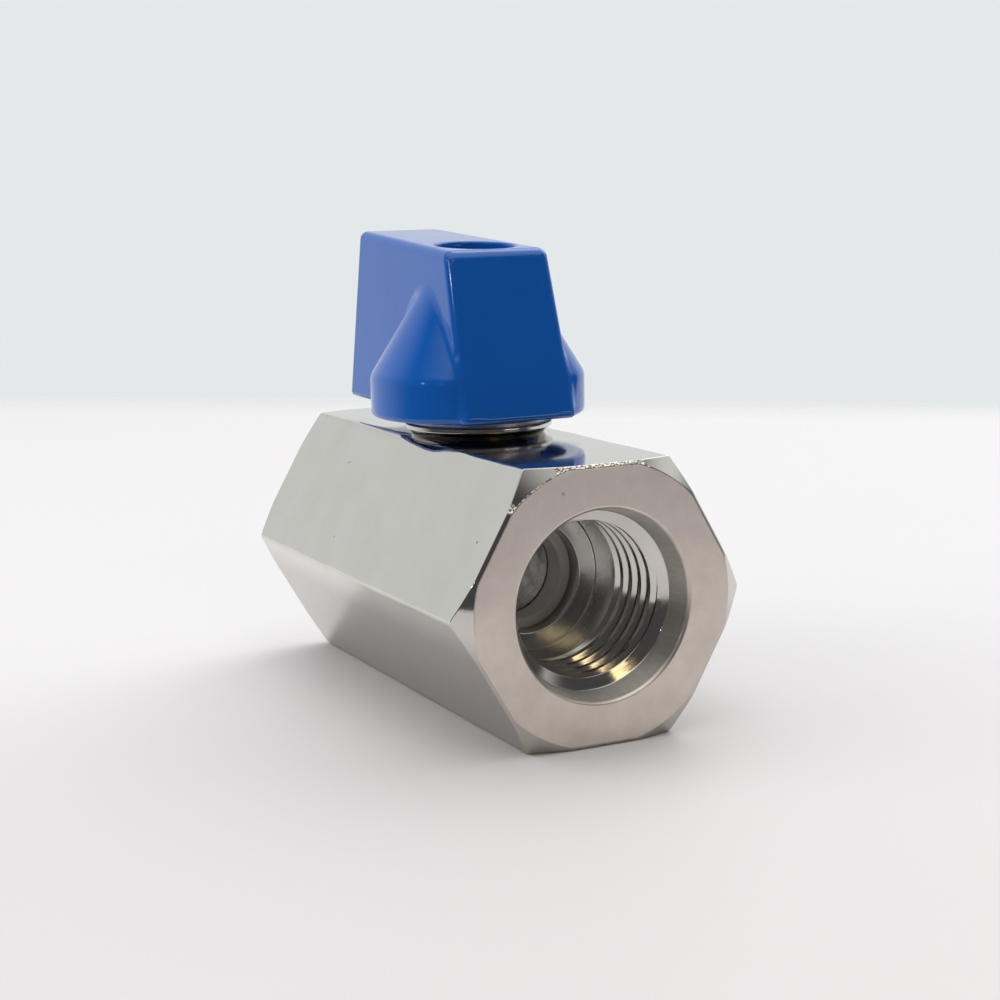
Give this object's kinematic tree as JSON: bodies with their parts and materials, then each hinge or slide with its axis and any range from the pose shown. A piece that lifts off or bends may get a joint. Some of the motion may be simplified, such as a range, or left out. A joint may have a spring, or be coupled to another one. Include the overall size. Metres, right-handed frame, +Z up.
{
  "type": "water shutoff valve",
  "caption": "Quarter-turn mini ball valve: hexagonal polished steel body with female threaded ports at both ends and a glossy blue wedge handle that turns a drilled ball to shut off water.",
  "frame": {"origin": "middle of the bottom flat of the hexagonal body, under the stem", "axes": "+X along the flow axis towards the port that is cut in the body itself, +Z up the stem, +Y across the body"},
  "size_m": [0.041, 0.0242, 0.037],
  "materials": {
    "polished_stainless": "polished stainless steel bar with turned ends",
    "turned_stainless": "turned stainless steel",
    "bright_ball": "mirror polished stainless steel",
    "blue_nylon": "glossy moulded nylon",
    "white_ptfe": "machined PTFE",
    "black_rubber": "moulded fluoro-rubber",
    "plated_steel": "bright zinc plated steel"
  },
  "bodies": {
    "body": {"valve_body": "polished_stainless", "end_connector": "turned_stainless", "connector_gasket": "white_ptfe", "front_seat": "white_ptfe", "rear_seat": "white_ptfe", "thrust_washer": "white_ptfe"},
    "handle": {"handle": "blue_nylon", "stem": "turned_stainless", "lower_stem_o_ring": "black_rubber", "upper_stem_o_ring": "black_rubber", "plain_washer": "plated_steel", "spring_washer": "plated_steel", "handle_screw": "plated_steel"},
    "ball": {"ball": "bright_ball"}
  },
  "joints": [
    {"name": "handle_turn", "type": "hinge", "parent": "body", "child": "handle", "pos_m": [0, 0, 0.0105], "axis": [0, 0, -1], "range_deg": [0, 90]},
    {"name": "ball_turn", "type": "hinge", "parent": "body", "child": "ball", "pos_m": [0, 0, 0.0105], "axis": [0, 0, -1], "range_deg": [0, 90]}
  ],
  "couplings": [
    {"joint": "ball_turn", "follows": "handle_turn", "ratio": 1}
  ]
}
